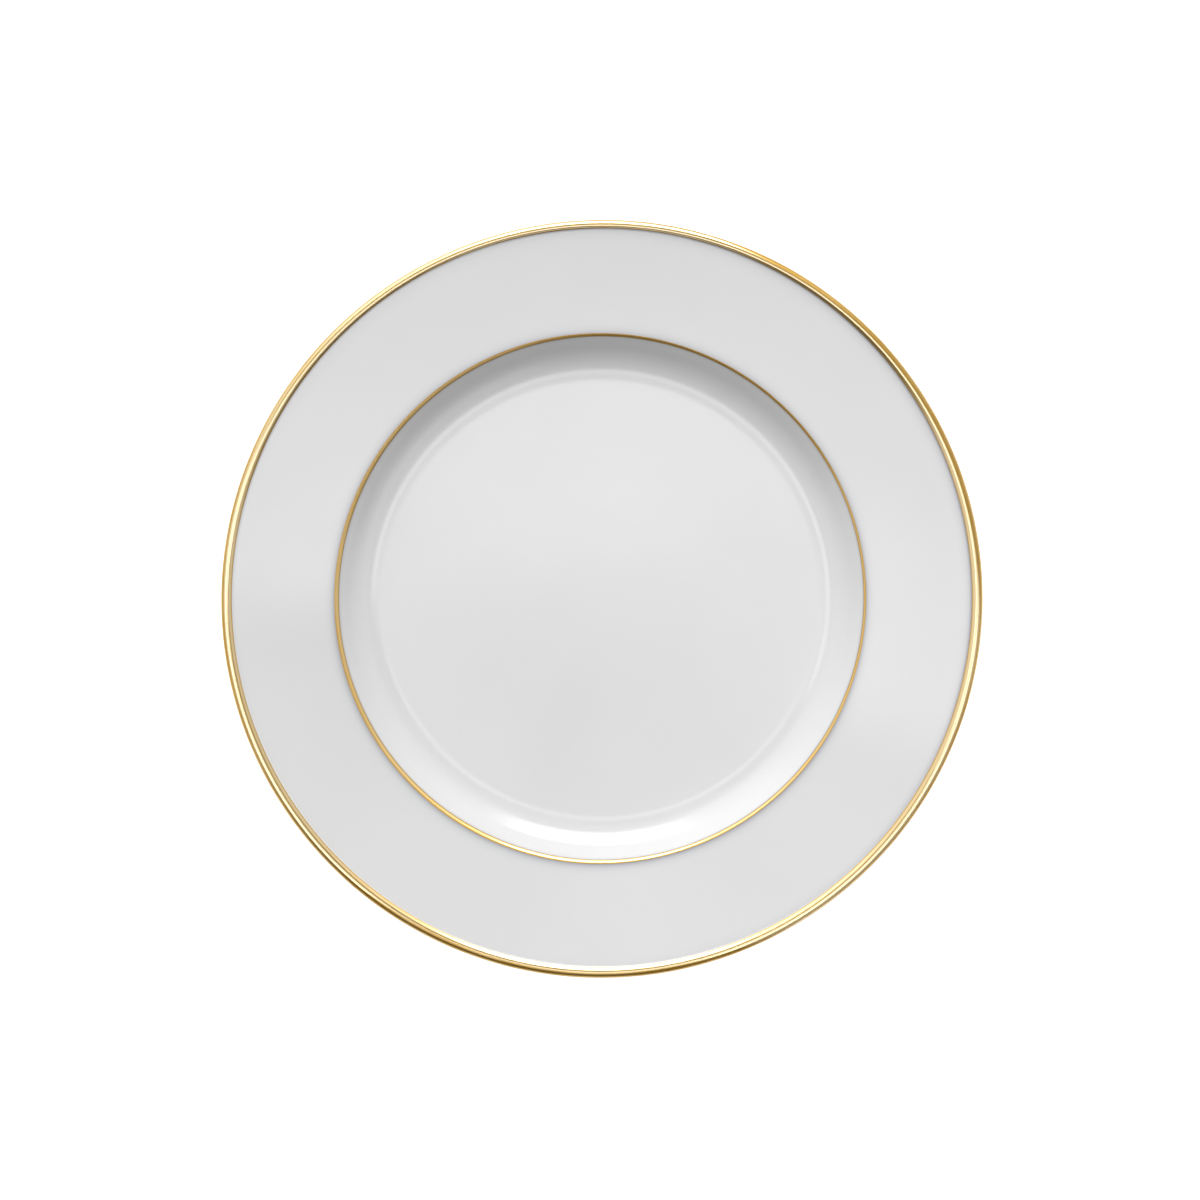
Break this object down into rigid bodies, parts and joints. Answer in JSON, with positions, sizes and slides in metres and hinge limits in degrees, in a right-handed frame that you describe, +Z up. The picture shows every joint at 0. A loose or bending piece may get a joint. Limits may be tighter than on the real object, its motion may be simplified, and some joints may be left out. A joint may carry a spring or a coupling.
{
  "type": "dinner plate",
  "caption": "Round white porcelain dinner plate with a wide flared rim, a gilded bead lip, a fine gold line on the verge and a foot ring to stand on.",
  "frame": {"origin": "the plate's axis at the height of the surface that the foot ring stands on", "axes": "+Z up along the plate's axis of revolution, out of the face; X and Y are alike, because the plate is round"},
  "size_m": [0.273, 0.273, 0.0197],
  "materials": {
    "porcelain": "matte",
    "glaze": "gloss",
    "gold": "polished"
  },
  "bodies": {
    "root": {"porcelain_body": "porcelain", "glaze_coat": "glaze", "base_glaze": "glaze", "gold_lip_band": "gold", "gold_verge_line": "gold"}
  },
  "joints": []
}
